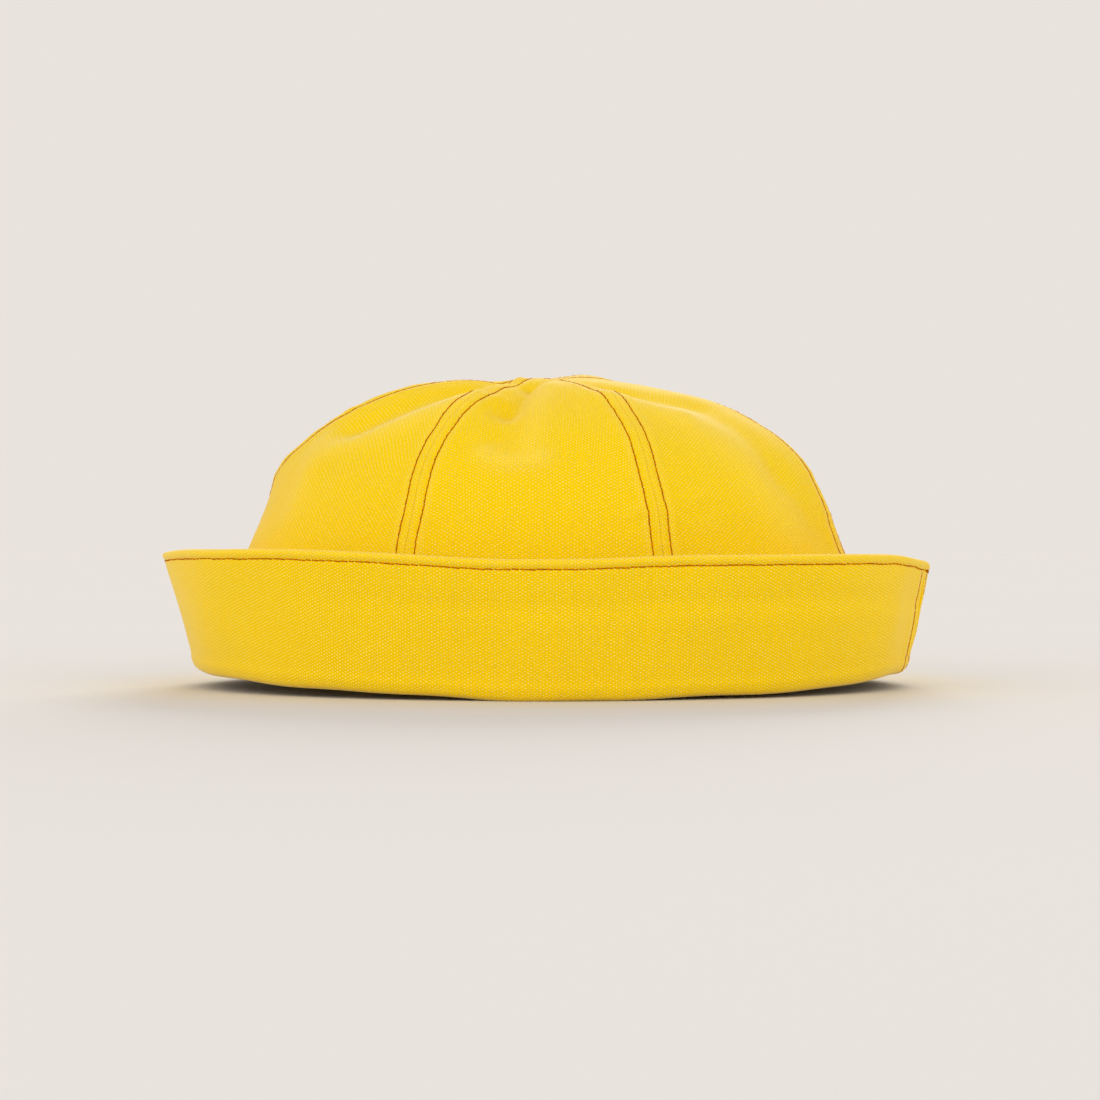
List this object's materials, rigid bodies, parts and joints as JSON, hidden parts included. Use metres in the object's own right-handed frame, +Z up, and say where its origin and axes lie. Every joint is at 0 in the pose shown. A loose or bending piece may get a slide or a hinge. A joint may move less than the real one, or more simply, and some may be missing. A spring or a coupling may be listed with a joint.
{
  "type": "sailor cap",
  "caption": "Soft canvas sailor cap: a panelled, rounded crown with topstitched seams inside a turned-up two-ply brim that rests on its bottom fold.",
  "frame": {"origin": "centre of the cap's bounding box at the surface it rests on", "axes": "+Z up through the crown, +X towards the back of the head and the brim's end seam, -X the forehead, -Y the wearer's left side"},
  "size_m": [0.243, 0.1896, 0.0993],
  "materials": {
    "crown_canvas": "bright yellow plain-weave cotton duck, matt, with brown topstitching",
    "brim_canvas": "bright yellow plain-weave cotton duck, matt, two plies with brown topstitching"
  },
  "bodies": {
    "root": {"crown_panel_left": "crown_canvas", "crown_panel_left_front": "crown_canvas", "crown_panel_left_back": "crown_canvas", "crown_panel_right": "crown_canvas", "crown_panel_right_front": "crown_canvas", "crown_panel_right_back": "crown_canvas", "brim_outer": "brim_canvas", "brim_facing": "brim_canvas"}
  },
  "joints": []
}
